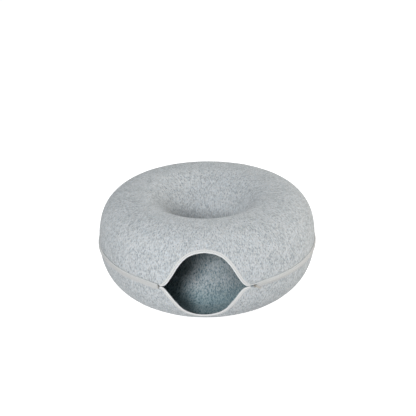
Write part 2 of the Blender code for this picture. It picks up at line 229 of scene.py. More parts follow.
class MouldedHalf:
    """The outer face of one half, by place round the wall and distance up its section."""

    def __init__(self, name):
        self.name = name
        self.side = 1 if name == "upper" else -1
        ridge, rise, outer_power, well_power = SECTIONS[name]
        self.ridge = ridge
        self.points = []
        for i in range(2 * SECTION_SAMPLES + 1):
            turn = math.pi / 2 * i / SECTION_SAMPLES
            outer = i <= SECTION_SAMPLES
            reach = (WALL_RADIUS if outer else THROAT_RADIUS) - ridge
            power = outer_power if outer else well_power
            radius = ridge + reach * abs(math.cos(turn)) ** (2 / power)
            self.points.append((radius, min(rise * abs(math.sin(turn)) ** (2 / power), HALF_HEIGHT)))
        self.lengths = [0.0]
        for a, b in zip(self.points, self.points[1:]):
            self.lengths.append(self.lengths[-1] + math.dist(a, b))
        level = [s for s, point in zip(self.lengths, self.points) if point[1] == HALF_HEIGHT]
        self.level_start, self.level_end = level[0], level[-1]
        self.seam_start = self.lengths[-1] - THROAT_SEAM
        self.cut = {}

    def section(self, length):
        """(radius, height) at a distance up the section from the zip's plane."""
        i = min(max(bisect_right(self.lengths, length), 1), len(self.points) - 1)
        share = (length - self.lengths[i - 1]) / (self.lengths[i] - self.lengths[i - 1])
        a, b = self.points[i - 1], self.points[i]
        return a[0] + share * (b[0] - a[0]), a[1] + share * (b[1] - a[1])

    def place(self, across, radius, height):
        """A point in the model, with the well a little off the middle and the crown not quite level."""
        angle = across / WALL_RADIUS
        inward = (WALL_RADIUS - radius) / (WALL_RADIUS - THROAT_RADIUS)
        drift = WELL_DRIFT * smooth_step(inward)
        lift = 0.0
        if self.side > 0:
            at_crown = CROWN_WAVE * math.cos(3 * angle) - CROWN_TILT * math.sin(angle)
            lift = at_crown * (height / HALF_HEIGHT) ** 2
        lift -= sag(across, height)
        x = radius * math.sin(angle) + drift
        return Vector((x, AXIS_Y - radius * math.cos(angle), ZIP_PLANE + self.side * height + lift))

    def point(self, across, length):
        return self.place(across, *self.section(length))

    def normal(self, across, length, step=0.5 * MM):
        """Unit normal of the outer face, pointing out of the felt."""
        up = self.point(across, length + step) - self.point(across, length - step)
        along = self.point(across + step, length) - self.point(across - step, length)
        return (along.cross(up) * self.side).normalized()

    def edge_height(self, across):
        distance = abs(across - CUT_SHIFT[self.name])
        if distance <= MOUTH_END:
            column = 1 if self.side > 0 else 2
            return smooth_through([(row[0] * MM, row[column] * MM) for row in MOUTH], distance)
        if self.side > 0:
            begins, ends = RIGHT_RISE if across > 0 else LEFT_RISE
            return smooth_through([(begins, SHUT_EDGE), (ends, ZIPPED_EDGE)], distance)
        return SHUT_EDGE

    def edge(self, across):
        """Distance up the section to the felt's cut edge."""
        if across not in self.cut:
            height = self.edge_height(across)
            i = bisect_right([point[1] for point in self.points[:SECTION_SAMPLES]], height)
            low, high = self.points[i - 1], self.points[i]
            share = (height - low[1]) / (high[1] - low[1])
            self.cut[across] = self.lengths[i - 1] + share * (self.lengths[i] - self.lengths[i - 1])
        return self.cut[across]

    def from_edge(self, across, into, reach=5 * MM):
        """(place, length) at a distance into the felt, square to its cut edge. The slope is evened
        out, and let go at the mouth's corners, so that neighbouring columns never cross."""
        slope = (self.edge(across + reach) - self.edge(across - reach)) / (2 * reach)
        slope *= smooth_step((LEAN_END - abs(across)) / (LEAN_END - LEAN_UNTIL))
        square = math.hypot(1, slope)
        return across - slope / square * into, self.edge(across) + into / square

    def uneven(self, across, length):
        """How far the pressed felt stands proud or shy of its mould, nothing near its edges."""
        free = min(length - self.edge(across) - FLAT_AT_CUT, self.seam_start - length - FLAT_AT_SEAM)
        if self.side < 0:
            sole = max(self.level_start - length, length - self.level_end)
            free = min(free, sole - FLAT_AT_SOLE)
        at = self.point(across, length)
        swell = sum(depth * noise.noise(at / width) for depth, width in SWELLS)
        return swell * smooth_step(free / SWELL_FADE)

    def rows(self, across):
        """One column of the outer face, from the cut edge over the crest or sole into the well."""
        steps = [self.from_edge(across, BINDING_WIDTH * i / BOUND_ROWS) for i in range(BOUND_ROWS)]
        start, first = self.from_edge(across, BINDING_WIDTH)
        for i in range(OUTER_ROWS):
            share = i / OUTER_ROWS
            steps.append((start + share * (across - start), first + share * (self.level_start - first)))
        stretches = [(self.level_end, self.seam_start, WELL_ROWS)]
        if self.side < 0:
            stretches.insert(0, (self.level_start, self.level_end, SOLE_ROWS))
        for begin, end, count in stretches:
            steps += [(across, begin + (end - begin) * i / count) for i in range(count)]
        column = [self.point(*step) + self.normal(*step) * self.uneven(*step) for step in steps]
        column.append(self.point(across, self.seam_start))
        column.append(self.place(across, THROAT_RADIUS, CLEARANCE / 2))
        return column


def new_piece(name, add, **sizes):
    """Add a primitive, as the only one that is selected."""
    bpy.ops.object.select_all(action="DESELECT")
    add(**sizes)
    piece = bpy.context.object
    piece.name = piece.data.name = name
    return piece


def round_edges(piece, width, segments, sharper_than=math.radians(30)):
    rounded = piece.modifiers.new("Rounded", "BEVEL")
    rounded.width = width
    rounded.segments = segments
    rounded.limit_method = "ANGLE"
    rounded.angle_limit = sharper_than
    bpy.ops.object.modifier_apply(modifier=rounded.name)


def spun_section(name, section, start, end, steps, closed=False):
    """Extrude a section of (radius, z) point by point, and spin it about the ring's axis between two
    angles from the mouth's middle. Returns the piece, and each vertex's (column, row)."""
    across, back = math.sin(start), math.cos(start)
    spots = [Vector((radius * across, AXIS_Y - radius * back, z)) for radius, z in section]
    if closed:
        spots.append(spots[0])
    piece = new_piece(name, bpy.ops.mesh.primitive_plane_add, size=MM)
    bpy.ops.object.mode_set(mode="EDIT")
    bpy.ops.mesh.merge(type="CENTER")
    bpy.ops.transform.translate(value=spots[0])
    for here, there in zip(spots, spots[1:]):
        bpy.ops.mesh.extrude_region_move(TRANSFORM_OT_translate={"value": there - here})
    bpy.ops.mesh.select_all(action="SELECT")
    bpy.ops.mesh.remove_doubles(threshold=0.01 * MM)
    bpy.ops.mesh.spin(steps=steps, angle=start - end, center=RING_MIDDLE, axis=(0, 0, 1))
    bpy.ops.mesh.select_all(action="SELECT")
    bpy.ops.mesh.remove_doubles(threshold=0.01 * MM)
    if closed:
        bpy.ops.mesh.fill_holes(sides=0)
    bpy.ops.mesh.normals_make_consistent(inside=False)
    bpy.ops.object.mode_set(mode="OBJECT")
    places = []
    for vertex in piece.data.vertices:
        across, back = vertex.co.x, AXIS_Y - vertex.co.y
        turned = (math.atan2(across, back) - start + 0.5 * (end - start) / steps) % math.tau
        column = int(turned / (end - start) * steps)
        radius, z = math.hypot(across, back), vertex.co.z
        row = min(range(len(section)), key=lambda i: math.dist(section[i], (radius, z)))
        places.append((column, row))
    return piece, places


def press_felt(name, half):
    """Spin the half's section round the axis, slide its points to the mould and the cut edge, and
    give it the felt's thickness, which is less where the edge is bound."""
    flat_section = [(math.hypot(p.x, p.y - AXIS_Y), p.z) for p in half.rows(math.pi * WALL_RADIUS)]
    piece, places = spun_section(name, flat_section, -math.pi, math.pi, FELT_COLUMNS)
    round_wall = [(i / FELT_COLUMNS * math.tau - math.pi) * WALL_RADIUS for i in range(FELT_COLUMNS)]
    columns = [half.rows(across) for across in round_wall]
    full = piece.vertex_groups.new(name="full thickness")
    for vertex, (column, row) in zip(piece.data.vertices, places):
        vertex.co = columns[column][row]
        beside = (abs(round_wall[column]) - BINDING_RIGHT_END) / PAST_BINDING
        beyond = (row - BOUND_ROWS) / THINNED_ROWS
        full.add([vertex.index], min(max(beside, beyond, 0.0), 1.0), "REPLACE")
    widest = max(piece.data.polygons, key=lambda face: (face.center - RING_MIDDLE).length)
    if widest.normal.dot(widest.center - RING_MIDDLE) < 0:
        piece.data.flip_normals()
    piece.data.materials.append(grey_felt)
    # The inner face gets the darker, bluer copy of the felt, which is painted shade.
    piece.data.materials.append(inner_felt_painted_shade)
    thickness = piece.modifiers.new("Thickness", "SOLIDIFY")
    thickness.material_offset = 1
    thickness.thickness = FELT
    thickness.offset = -1
    thickness.use_even_offset = True
    thickness.use_quality_normals = True
    thickness.vertex_group = full.name
    thickness.thickness_vertex_group = BOUND_FELT / FELT
    bpy.ops.object.modifier_apply(modifier=thickness.name)
    round_edges(piece, CUT_EDGE_ROUND, 3, sharper_than=FELT_CREASE)
    bpy.ops.object.shade_smooth_by_angle(angle=FELT_CREASE)
    return piece


def feed(tree, socket, value):
    """Link another node's output to a socket, or set the socket to a plain value."""
    if isinstance(value, bpy.types.NodeSocket):
        tree.links.new(value, socket)
    else:
        socket.default_value = value


def calculate(tree, operation, *values):
    """A Math node's output, fed with sockets or plain numbers."""
    node = tree.nodes.new("ShaderNodeMath")
    node.operation = operation
    for socket, value in zip(node.inputs, values):
        feed(tree, socket, value)
    return node.outputs[0]


def calculate_vector(tree, operation, *values, output="Vector"):
    """The same for a Vector Math node."""
    node = tree.nodes.new("ShaderNodeVectorMath")
    node.operation = operation
    for socket, value in zip(node.inputs, values):
        feed(tree, socket, value)
    return node.outputs[output]


def ramp(tree, value, low, high, from_value=0.0, to_value=1.0):
    """A smooth step from one value to another as the input goes from low to high."""
    node = tree.nodes.new("ShaderNodeMapRange")
    node.interpolation_type = "SMOOTHSTEP"
    tree.links.new(value, node.inputs["Value"])
    node.inputs["From Min"].default_value = low
    node.inputs["From Max"].default_value = high
    node.inputs["To Min"].default_value = from_value
    node.inputs["To Max"].default_value = to_value
    return node.outputs["Result"]


def lumps(tree, vector, size, detail=2.0, output="Fac"):
    """Noise with lumps about size metres across."""
    node = tree.nodes.new("ShaderNodeTexNoise")
    tree.links.new(vector, node.inputs["Vector"])
    node.inputs["Scale"].default_value = 1 / size
    node.inputs["Detail"].default_value = detail
    return node.outputs[output]


def mapped(tree, vector, turn, scale):
    """A vector turned by degrees about each axis, and scaled."""
    node = tree.nodes.new("ShaderNodeMapping")
    node.inputs["Rotation"].default_value = [math.radians(angle) for angle in turn]
    node.inputs["Scale"].default_value = scale
    tree.links.new(vector, node.inputs["Vector"])
    return node.outputs["Vector"]


def mix_colours(tree, share, first, second):
    node = tree.nodes.new("ShaderNodeMix")
    node.data_type = "RGBA"
    for socket, value in (("Factor", share), ("A", first), ("B", second)):
        feed(tree, node.inputs[socket], value)
    return node.outputs["Result"]


def new_group(name, colours, numbers=(), results=("Height",)):
    """A shader node group, and the sockets of its two ends. It takes a Vector and the named colours
    and numbers, and gives a Colour and the named results, which are numbers."""
    group = bpy.data.node_groups.new(name, "ShaderNodeTree")
    sockets = [("Vector", "INPUT", "Vector")]
    sockets += [(socket, "INPUT", "Color") for socket in colours]
    sockets += [(socket, "INPUT", "Float") for socket in numbers]
    sockets += [("Colour", "OUTPUT", "Color")]
    sockets += [(socket, "OUTPUT", "Float") for socket in results]
    for socket, end, kind in sockets:
        group.interface.new_socket(name=socket, in_out=end, socket_type="NodeSocket" + kind)
    return group, group.nodes.new("NodeGroupInput").outputs, group.nodes.new("NodeGroupOutput").inputs


# The felt's fibres. Those that the mould drew out keep their width at one radius outside and at one in
# the well, and pass from one to the other between two more. The rest are strands of two sizes, laid
# in four directions and bent, in blotches and clouds, with a cast of colour and a few dark flecks.
DRAWN_AT = {"outside": 205 * MM, "well": 95 * MM}
DRAWN_PASSAGE = (110 * MM, 170 * MM)
DRAWN_WIDTH = 1.7 * MM
DRAWN_SHRINK = 0.3  # of their length, so that they come out longer than wide
STRAND_TURNS = ((20, 35, 10), (75, -25, 50), (110, 60, -40), (-35, 15, 95))
STRAND_SHRINK = 0.22
PALE_STRAND = 1.3 * MM
DARK_STRAND = 1.5 * MM
BEND_SIZE = 7 * MM
BEND_REACH = (5 * MM, 5 * MM, 5 * MM)
BLOTCH_SIZE = 4.2 * MM
CLOUD_SIZE = 24 * MM
CAST_SIZE = 2.6 * MM
COOL_CAST = (0.965, 1.0, 1.03, 1.0)
WARM_CAST = (1.035, 1.0, 0.97, 1.0)
FLECK_SPACING = 10 * MM
FELT_RELIEF = 0.5 * MM


def drawn_fibres(tree, vector):
    """Noise drawn out by the mould into strands, which run out of the well and down the wall."""
    split = tree.nodes.new("ShaderNodeSeparateXYZ")
    tree.links.new(vector, split.inputs[0])
    level = tree.nodes.new("ShaderNodeCombineXYZ")
    tree.links.new(split.outputs["X"], level.inputs["X"])
    tree.links.new(calculate(tree, "SUBTRACT", split.outputs["Y"], AXIS_Y), level.inputs["Y"])
    heading = calculate_vector(tree, "NORMALIZE", level.outputs[0])
    radius = calculate_vector(tree, "LENGTH", level.outputs[0], output="Value")
    outward = tree.nodes.new("ShaderNodeCombineXYZ")
    tree.links.new(calculate(tree, "MULTIPLY", radius, DRAWN_SHRINK), outward.inputs["Z"])
    upward = calculate(tree, "MULTIPLY", split.outputs["Z"], DRAWN_SHRINK)
    strands = {}
    for side, turning in DRAWN_AT.items():
        spot = calculate_vector(tree, "MULTIPLY", heading, (turning, turning, turning))
        node = tree.nodes.new("ShaderNodeTexNoise")
        node.noise_dimensions = "4D"
        node.inputs["Scale"].default_value = 1 / DRAWN_WIDTH
        node.inputs["Detail"].default_value = 1.0
        tree.links.new(calculate_vector(tree, "ADD", spot, outward.outputs[0]), node.inputs["Vector"])
        tree.links.new(upward, node.inputs["W"])
        strands[side] = node.outputs["Fac"]
    outside = ramp(tree, radius, *DRAWN_PASSAGE)
    difference = calculate(tree, "SUBTRACT", strands["outside"], strands["well"])
    return calculate(tree, "MULTIPLY_ADD", difference, outside, strands["well"])


def matted_fibres():
    """The look of short fibres needled into a mat: bent strands lighter and darker than the rest."""
    group, given, result = new_group("matted fibres", ("Pale", "Dark", "Fleck"))
    waver = lumps(group, given["Vector"], BEND_SIZE, output="Color")
    bent = calculate_vector(group, "MULTIPLY_ADD", waver, BEND_REACH, given["Vector"])
    pale = dark = 0.0
    for turn in STRAND_TURNS:
        laid = mapped(group, bent, turn, (1, 1, STRAND_SHRINK))
        strands = lumps(group, laid, PALE_STRAND, detail=1.0)
        pale = calculate(group, "MAXIMUM", pale, ramp(group, strands, 0.58, 0.74))
        laid = mapped(group, bent, turn[::-1], (1, STRAND_SHRINK, 1))
        strands = lumps(group, laid, DARK_STRAND, detail=1.0)
        dark = calculate(group, "MAXIMUM", dark, ramp(group, strands, 0.60, 0.78))
    drawn = drawn_fibres(group, given["Vector"])
    blotch = lumps(group, bent, BLOTCH_SIZE, detail=2.0)
    cloud = lumps(group, given["Vector"], CLOUD_SIZE, detail=1.0)
    lightening = (
        (calculate(group, "SUBTRACT", blotch, 0.5), 1.05),
        (calculate(group, "SUBTRACT", cloud, 0.5), 0.35),
        (pale, 0.22),
        (dark, -0.36),
        (ramp(group, drawn, 0.53, 0.66), -0.50),
        (ramp(group, drawn, 0.47, 0.33), 0.32),
    )
    tone = 0.58
    for share, weight in lightening:
        tone = calculate(group, "MULTIPLY_ADD", share, weight, tone)
    colour = mix_colours(group, ramp(group, tone, 0.0, 1.0), given["Dark"], given["Pale"])
    warmth = ramp(group, lumps(group, bent, CAST_SIZE, detail=1.0), 0.36, 0.64)
    colour = calculate_vector(group, "MULTIPLY", mix_colours(group, warmth, COOL_CAST, WARM_CAST), colour)

    flecks = group.nodes.new("ShaderNodeTexVoronoi")
    flecks.inputs["Scale"].default_value = 1 / FLECK_SPACING
    group.links.new(bent, flecks.inputs["Vector"])
    chosen = group.nodes.new("ShaderNodeSeparateColor")
    group.links.new(flecks.outputs["Color"], chosen.inputs["Color"])
    near = ramp(group, flecks.outputs["Distance"], 0.17, 0.08)
    fleck = calculate(group, "MULTIPLY", near, ramp(group, chosen.outputs["Red"], 0.40, 0.44))
    colour = mix_colours(group, calculate(group, "MULTIPLY", fleck, 0.7), colour, given["Fleck"])
    group.links.new(colour, result["Colour"])
    height = calculate(group, "MULTIPLY_ADD", blotch, 0.8, calculate(group, "MULTIPLY", pale, 0.5))
    height = calculate(group, "MULTIPLY_ADD", dark, -0.35, height)
    group.links.new(height, result["Height"])
    return group


def new_finish(name, shading, look, values, relief, strength=1.0, flat=False):
    """A material that takes its colour, its relief and, where there is one, its roughness from a
    look, which is a node group with values of its own. The look lies in Object coordinates, or in
    the flat coordinates of the piece's cloth."""
    material = bpy.data.materials.new(name)
    material.use_nodes = True
    tree = material.node_tree
    shader, node = tree.nodes["Principled BSDF"], tree.nodes.new("ShaderNodeGroup")
    node.node_tree = look
    for owner, settings in ((shader, shading), (node, values)):
        for socket, value in settings.items():
            owner.inputs[socket].default_value = value
    place = tree.nodes.new("ShaderNodeUVMap" if flat else "ShaderNodeTexCoord")
    if flat:
        place.uv_map = "flat cloth"
    tree.links.new(place.outputs["UV" if flat else "Object"], node.inputs["Vector"])
    tree.links.new(node.outputs["Colour"], shader.inputs["Base Color"])
    if "Roughness" in node.outputs:
        tree.links.new(node.outputs["Roughness"], shader.inputs["Roughness"])
    bump = tree.nodes.new("ShaderNodeBump")
    bump.inputs["Distance"].default_value = relief
    bump.inputs["Strength"].default_value = strength
    tree.links.new(node.outputs["Height"], bump.inputs["Height"])
    tree.links.new(bump.outputs["Normal"], shader.inputs["Normal"])
    return material


FELT_SHADING = {"Roughness": 0.96, "Sheen Weight": 0.14, "Sheen Roughness": 0.3, "Specular IOR Level": 0.25}
FELT_COLOURS = {
    "Pale": (0.523, 0.549, 0.565, 1.0),
    "Dark": (0.276, 0.300, 0.318, 1.0),
    "Fleck": (0.13, 0.15, 0.17, 1.0),
}
grey_felt = new_finish("grey needled felt", FELT_SHADING, matted_fibres(), FELT_COLOURS, FELT_RELIEF)

# The inner face is bluer and darker than the outer one, and more so towards the floor: painted shade for the
# inside of the ring, deepest towards the floor.
PAINTED_FLOOR_SHADE = (0.65, 0.775, 0.80, 1.0)
PAINTED_FLOOR_SHADE_BETWEEN = (4 * MM, 42 * MM)
inner_felt_painted_shade = grey_felt.copy()
inner_felt_painted_shade.name = "inner face of the felt, painted shade"
inner_fibres_painted_shade = [node for node in inner_felt_painted_shade.node_tree.nodes if node.type == "GROUP"][0]
inner_fibres_painted_shade.inputs["Pale"].default_value = (0.535, 0.578, 0.60, 1.0)
inner_fibres_painted_shade.inputs["Dark"].default_value = (0.162, 0.234, 0.266, 1.0)
tree = inner_felt_painted_shade.node_tree
height = tree.nodes.new("ShaderNodeSeparateXYZ")
tree.links.new(inner_fibres_painted_shade.inputs["Vector"].links[0].from_socket, height.inputs[0])
# Painted shade, deeper towards the floor.
above_floor = ramp(tree, height.outputs["Z"], *PAINTED_FLOOR_SHADE_BETWEEN)
painted_floor_shade = mix_colours(tree, above_floor, PAINTED_FLOOR_SHADE, (1.0, 1.0, 1.0, 1.0))
shaded_inner_colour = calculate_vector(tree, "MULTIPLY", inner_fibres_painted_shade.outputs["Colour"], painted_floor_shade)
tree.links.new(shaded_inner_colour, tree.nodes["Principled BSDF"].inputs["Base Color"])

halves = {name: MouldedHalf(name) for name in ("upper", "lower")}
for name, half in halves.items():
    felt = press_felt(name + "_felt", half)
    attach(felt, "root")
    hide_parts(name + "_shell")


# The seam at the throat of the well. The two halves butt there, and are whipped together by hand
# with grey thread, one upright stitch every 5 mm.

WHIP_COUNT = 89
WHIP_LENGTH = 6 * MM
WHIP_WIDTH = 0.7 * MM
WHIP_INTO_WELL = 0.1 * MM
WHIP_SLANT = 0.12
STITCH_BEND = 0.75  # of a stitch's width, by which its ends go into the cloth
THREAD_TWIST = 0.9 * MM
# Painted shade between the thread's strands.
THREAD_SHADE = 0.78  # of its colour, between its strands
THREAD_RELIEF = 0.08 * MM


def standing(spot, along, out):
    """A frame at a spot, with X along the seam and Z out of the cloth."""
    x = along.normalized()
    z = (out - out.dot(x) * x).normalized()
    return Matrix.Translation(spot) @ Matrix((x, z.cross(x), z)).transposed().to_4x4()


def sew(name, frames, length, width, thread):
    """One stitch, bent so that its ends go into the cloth, and a copy of it in each frame."""
    stitch = new_piece(name, bpy.ops.mesh.primitive_uv_sphere_add, segments=8, ring_count=6, radius=0.5)
    bpy.ops.object.mode_set(mode="EDIT")
    bpy.ops.transform.rotate(value=math.pi / 2, orient_axis="Y", center_override=(0, 0, 0))
    bpy.ops.transform.resize(value=(length, width, width))
    bpy.ops.object.mode_set(mode="OBJECT")
    for vertex in stitch.data.vertices:
        share = vertex.co.x / (length / 2)
        vertex.co.z -= STITCH_BEND * width * share * share
    stitch.data.materials.append(thread)
    bpy.ops.object.shade_smooth()
    copies = []
    for frame_of_one in frames[1:]:
        copy = bpy.data.objects.new(name, stitch.data.copy())
        copy.data.transform(frame_of_one)
        bpy.context.collection.objects.link(copy)
        copies.append(copy)
    stitch.data.transform(frames[0])
    for copy in copies:
        copy.select_set(True)
    bpy.ops.object.join()
    return bpy.context.object


def spun_strands():
    """The look of spun thread: strands laid slantwise, with painted shade between them."""
    group, given, result = new_group("spun strands", ("Strand", "Shade between"))
    wave = group.nodes.new("ShaderNodeTexWave")
    wave.bands_direction = "DIAGONAL"
    wave.inputs["Scale"].default_value = 1 / THREAD_TWIST
    group.links.new(given["Vector"], wave.inputs["Vector"])
    strand = wave.outputs["Fac"]
    group.links.new(mix_colours(group, strand, given["Shade between"], given["Strand"]), result["Colour"])
    group.links.new(strand, result["Height"])
    return group


def twisted_thread(name, colour):
    """Matt spun thread, in a colour of its own, darker between its strands as painted shade."""
    between = [THREAD_SHADE * channel for channel in colour[:3]] + [1.0]
    shading = {"Roughness": 0.8, "Sheen Weight": 0.2}
    return new_finish(name, shading, spun, {"Strand": colour, "Shade between": between}, THREAD_RELIEF)


spun = spun_strands()
grey_thread = twisted_thread("grey thread", (0.46, 0.49, 0.51, 1.0))
frames = []
for i in range(WHIP_COUNT):
    angle = math.tau * i / WHIP_COUNT
    across = (angle - math.pi) * WALL_RADIUS
    spot = halves["upper"].place(across, THROAT_RADIUS - WHIP_INTO_WELL, 0)
    inward = Vector((-math.sin(angle - math.pi), math.cos(angle - math.pi), 0))
    upright = Vector((0, 0, 1))
    frames.append(standing(spot, upright + WHIP_SLANT * inward.cross(upright), inward))
throat_seam = sew("throat_stitches", frames, WHIP_LENGTH, WHIP_WIDTH, grey_thread)
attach(throat_seam, "root")


# The bindings. Off-white woven tape is folded in two over each cut edge of the mouth and sewn through
# a third of the way in, so that it swells between stitches and fold. Along the fold it is painted
# whiter, a painted highlight.

# The folded tape's section, in millimetres: how far into the felt, and how far over its outer face.
TAPE_SECTION = (
    (6.11, 0.20),
    (6.20, 0.50),
    (5.89, 0.70),
    (5.36, 0.74),
    (4.88, 0.72),
    (4.40, 0.70),
    (3.90, 0.72),
    (3.30, 0.76),
    (2.78, 0.70),
    (2.42, 0.50),
    (2.10, 0.28),
    (1.78, 0.52),
    (1.00, 0.90),
    (0.09, 0.78),
    (-0.55, 0.46),
    (-1.05, -0.10),
    (-1.30, -0.95),
    (-1.05, -1.80),
    (-0.55, -2.35),
    (0.18, -2.62),
    (1.41, -2.66),
    (1.78, -2.58),
    (2.10, -2.40),
    (2.42, -2.56),
    (4.40, -2.64),
    (5.63, -2.62),
    (6.16, -2.52),
    (6.16, -2.16),
    (4.40, -2.05),
    (2.10, -2.05),
    (0.26, -2.10),
    (-0.45, -1.70),
    (-0.78, -0.95),
    (-0.45, -0.20),
    (0.26, 0.18),
    (2.10, 0.12),
    (4.40, 0.16),
)
FOLD_ROWS = (10, 19)  # of the section, from the seam round the fold
TAPE_COLUMNS = 210
CORNER_FROM = 80 * MM
CORNER_TO = 95 * MM
CORNER_SWELL = 1.45  # of the fold, where the two bindings crowd together
CORNER_WIDTH = 0.72  # of the tape, which is drawn in there
TAPE_END_WIDTH = 0.42  # of the tape, at its very ends
SEAM_INTO = 2.1 * MM
STITCH_PITCH = 3.4 * MM
STITCH_LENGTH = 2.7 * MM
STITCH_WIDTH = 0.6 * MM
STITCH_FACES = {1: 0.45 * MM, -1: -2.55 * MM}  # how far over the felt, outside and inside
WEAR_SIZE = 2.2 * MM
WEAVE_RELIEF = 0.12 * MM
TAPE_CREASE = math.radians(60)


def woven_cloth():
    """The look of plain-woven tape, in its own flat coordinates: threads crossing over and under, with
    painted shade in the hollows between them and a little wear.
    """
    group, given, result = new_group("woven cloth", ("Thread", "Gap shade"), ("Pitch",))
    split = group.nodes.new("ShaderNodeSeparateXYZ")
    group.links.new(given["Vector"], split.inputs[0])
    along = calculate(group, "DIVIDE", split.outputs["X"], given["Pitch"])
    up = calculate(group, "DIVIDE", split.outputs["Y"], given["Pitch"])
    count = calculate(group, "ADD", calculate(group, "FLOOR", along), calculate(group, "FLOOR", up))
    odd = calculate(group, "FRACT", calculate(group, "DIVIDE", count, 2.0))
    over = calculate(group, "GREATER_THAN", odd, 0.25)
    warp = calculate(group, "PINGPONG", along, 0.5)
    weft = calculate(group, "PINGPONG", up, 0.5)
    turned = calculate(group, "MULTIPLY", over, calculate(group, "SUBTRACT", warp, weft))
    height = calculate(group, "MULTIPLY", calculate(group, "ADD", weft, turned), 2.0)
    wear = calculate(group, "SUBTRACT", lumps(group, given["Vector"], WEAR_SIZE, detail=2.0), 0.5)
    # The gap colour is painted shade where the weave lies low, mixed with wear at random.
    share = calculate(group, "MULTIPLY_ADD", wear, 0.9, ramp(group, height, 0.0, 0.7))
    group.links.new(mix_colours(group, share, given["Gap shade"], given["Thread"]), result["Colour"])
    group.links.new(height, result["Height"])
    return group


def tape_finish(name, thread, gap_shade, pitch):
    """Woven tape, its threads a pitch apart, in colours of its own."""
    shading = {"Roughness": 0.85, "Sheen Weight": 0.15, "Specular IOR Level": 0.3}
    values = {"Thread": thread, "Gap shade": gap_shade, "Pitch": pitch}
    return new_finish(name, shading, weave, values, WEAVE_RELIEF, strength=0.7, flat=True)


def run_lengths(points):
    lengths = [0.0]
    for a, b in zip(points, points[1:]):
        lengths.append(lengths[-1] + math.dist(a, b))
    return lengths


def lay_flat(piece, places, run, columns, section):
    """Flat coordinates in metres: how far along its run a column is, and how far round its section,
    given in millimetres, a row is."""
    flat = piece.data.uv_layers.new(name="flat cloth")
    along = [run * i / columns for i in range(columns + 1)]
    around = run_lengths([(a * MM, b * MM) for a, b in section + section[:1]])
    last = len(around) - 2
    for face in piece.data.polygons:
        rows = [places[vertex][1] for vertex in face.vertices]
        wraps = 0 in rows and last in rows
        for corner, vertex in zip(face.loop_indices, face.vertices):
            column, row = places[vertex]
            flat.data[corner].uv = (along[column], around[-1] if wraps and row == 0 else around[row])


def evenly(half, count):
    """Places round the wall that divide the bound edge into equal lengths, and its whole length."""
    fine = [BINDING_LEFT_END + (BINDING_RIGHT_END - BINDING_LEFT_END) * i / 800 for i in range(801)]
    lengths = run_lengths([half.point(across, half.edge(across)) for across in fine])
    spots = []
    for i in range(count + 1):
        wanted = lengths[-1] * i / count
        after = min(max(bisect_right(lengths, wanted), 1), len(fine) - 1)
        share = (wanted - lengths[after - 1]) / (lengths[after] - lengths[after - 1])
        spots.append(fine[after - 1] + share * (fine[after] - fine[after - 1]))
    return spots, lengths[-1]


def beside_edge(half, across, into, over):
    """A point at a distance into the felt from its cut edge and over its outer face."""
    at = half.from_edge(across, max(into, 0.0))
    edge = half.point(across, half.edge(across))
    inward = (half.point(*half.from_edge(across, BINDING_WIDTH / 2)) - edge).normalized()
    return half.point(*at) + inward * min(into, 0.0) + half.normal(*at) * over


def crowding(across):
    """How much the fold swells and the tape narrows towards the mouth's corners."""
    share = min(max((abs(across) - CORNER_FROM) / (CORNER_TO - CORNER_FROM), 0.0), 1.0)
    share *= share * (3 - 2 * share)
    last = min(max((abs(across) - CORNER_TO + 3 * MM) / (7 * MM), 0.0), 1.0)
    width = 1 + (CORNER_WIDTH - 1) * share + (TAPE_END_WIDTH - CORNER_WIDTH) * last
    return 1 + (CORNER_SWELL - 1) * share, width


def bind(name, half):
    """Fold the tape over the half's cut edge, and sew it down on both faces."""
    spots, length = evenly(half, TAPE_COLUMNS)
    section = [(WALL_RADIUS + over * MM, ZIP_PLANE + into * MM) for into, over in TAPE_SECTION]
    start, end = BINDING_LEFT_END / WALL_RADIUS, BINDING_RIGHT_END / WALL_RADIUS
    tape, places = spun_section(name, section, start, end, TAPE_COLUMNS, closed=True)
    columns = []
    for across in spots:
        swell, width = crowding(across)
        column = []
        for into, over in TAPE_SECTION:
            into *= swell if into < 0 else width
            column.append(beside_edge(half, across, into * MM, over * MM))
        columns.append(column)
    for vertex, (column, row) in zip(tape.data.vertices, places):
        vertex.co = columns[column][row]
    if half.side < 0:
        tape.data.flip_normals()
    lay_flat(tape, places, length, TAPE_COLUMNS, TAPE_SECTION)
    bpy.ops.object.shade_smooth_by_angle(angle=TAPE_CREASE)
    tape.data.materials.append(binding_cloth)
    # The rows round the fold take the whiter cloth, a painted highlight.
    tape.data.materials.append(fold_cloth_painted_highlight)
    for face in tape.data.polygons:
        rows = [places[vertex][1] for vertex in face.vertices]
        face.material_index = int(min(rows) >= FOLD_ROWS[0] and max(rows) <= FOLD_ROWS[1])

    frames = []
    spots, length = evenly(half, round(length / STITCH_PITCH))
    for here, there in zip(spots, spots[1:]):
        across = (here + there) / 2
        into = SEAM_INTO * crowding(across)[1]
        along = beside_edge(half, there, into, 0) - beside_edge(half, here, into, 0)
        out = half.normal(*half.from_edge(across, into))
        for side, over in STITCH_FACES.items():
            frames.append(standing(beside_edge(half, across, into, over), along, side * out))
    seam = sew(name + "_stitches", frames, STITCH_LENGTH, STITCH_WIDTH, seam_thread)
    return tape, seam


BINDING_WEAVE = 0.42 * MM
OFF_WHITE = (0.605, 0.61, 0.603, 1.0)
# Painted shade between the binding's threads.
OFF_WHITE_GAP_SHADE = (0.445, 0.45, 0.445, 1.0)
